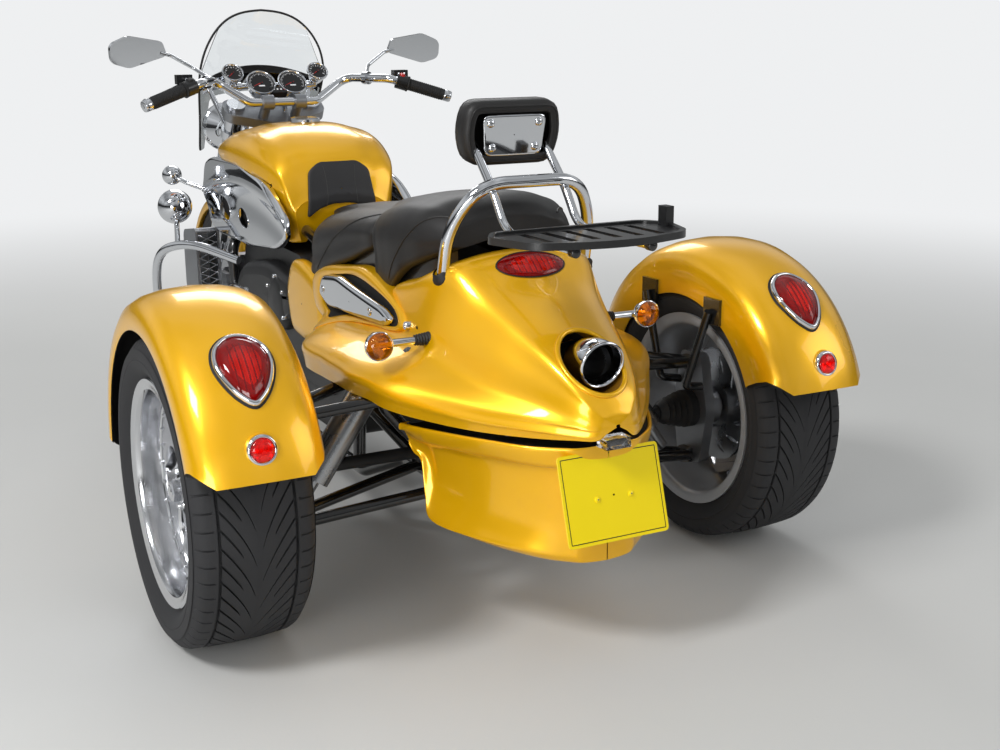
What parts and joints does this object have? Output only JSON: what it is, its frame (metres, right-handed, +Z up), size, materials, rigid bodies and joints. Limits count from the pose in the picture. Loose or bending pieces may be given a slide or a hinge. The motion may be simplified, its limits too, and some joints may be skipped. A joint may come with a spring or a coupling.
{
  "type": "motorized trike",
  "caption": "Motorcycle-fronted trike: steered fork and front wheel, wide driven rear wheels on an axle, stepped seat with backrest, luggage rack and enclosed tail.",
  "frame": {"origin": "on the ground, midway between the outer sides and midway between the front and the rear end", "axes": "+Z up, -Y the way it drives, +X the rider's left"},
  "size_m": [1.552, 2.7357, 1.2884],
  "materials": {
    "body_paint": "metallic golden yellow, clear coated",
    "black_paint": "satin black",
    "frame_black": "gloss black",
    "chrome": "polished",
    "engine_black": "cast, painted black",
    "alloy": "polished",
    "alloy_cast": "cast, silver grey",
    "steel": "ground",
    "leather": "black, soft grain",
    "vinyl": "black, fine grain",
    "tyre_rubber": "matte black",
    "rubber": "matte black",
    "clear_lens": "clear",
    "screen": "clear, lightly tinted",
    "amber_lens": "amber",
    "red_lens": "red",
    "plate_yellow": "plain yellow, blank",
    "control_black": "satin black",
    "mesh": "woven bright mesh"
  },
  "bodies": {
    "chassis": {"backrest_pad": "leather", "clear_lenses": "clear_lens", "crash_bars": "chrome", "dampers": "steel", "drive_shafts": "rubber", "engine_block": "engine_black", "engine_covers": "chrome", "exhaust": "chrome", "filler_cap": "chrome", "final_drive": "alloy_cast", "footpegs": "rubber", "frame_tubes": "frame_black", "rear_frame": "frame_black", "front_indicator_lenses": "amber_lens", "fuel_tank": "body_paint", "grab_rail": "chrome", "intake_covers": "chrome", "lower_shell": "body_paint", "luggage_rack": "black_paint", "number_plate": "plate_yellow", "passenger_seat": "leather", "radiator": "alloy_cast", "radiator_mesh": "mesh", "rear_body": "body_paint", "rear_indicator_lenses": "amber_lens", "rear_lamp_bowls": "chrome", "rear_uprights": "alloy_cast", "rear_wings": "body_paint", "red_lenses": "red_lens", "rider_seat": "leather", "side_handles": "chrome", "side_panels": "body_paint", "tank_pad": "vinyl", "wing_brackets": "frame_black", "wishbones": "frame_black"},
    "steering": {"fork_legs": "chrome", "fork_yokes": "alloy_cast", "front_axle": "steel", "front_brackets": "chrome", "front_calipers": "alloy_cast", "front_lamp_shells": "chrome", "front_mudguard": "body_paint", "gauges": "chrome", "grips": "rubber", "hand_controls": "control_black", "handlebar": "chrome", "headlamp_lenses": "clear_lens", "mirrors": "chrome", "windscreen": "screen"},
    "front_wheel": {"front_tyre": "tyre_rubber", "front_rim": "alloy", "front_discs": "steel"},
    "rear_wheel_left": {"rear_tyre_left": "tyre_rubber", "rear_rim_left": "alloy"},
    "rear_wheel_right": {"rear_tyre_right": "tyre_rubber", "rear_rim_right": "alloy"}
  },
  "joints": [
    {"name": "steering_turn", "type": "hinge", "parent": "chassis", "child": "steering", "pos_m": [0, -1.182, 0], "axis": [0, 0.5299, 0.848], "range_deg": [-30, 30]},
    {"name": "front_wheel_spin", "type": "hinge", "parent": "steering", "child": "front_wheel", "pos_m": [0, -1.03, 0.336], "axis": [1, 0, 0], "continuous": true},
    {"name": "rear_left_spin", "type": "hinge", "parent": "chassis", "child": "rear_wheel_left", "pos_m": [0.647, 0.82, 0.322], "axis": [1, 0, 0], "continuous": true},
    {"name": "rear_right_spin", "type": "hinge", "parent": "chassis", "child": "rear_wheel_right", "pos_m": [-0.647, 0.82, 0.322], "axis": [1, 0, 0], "continuous": true}
  ]
}
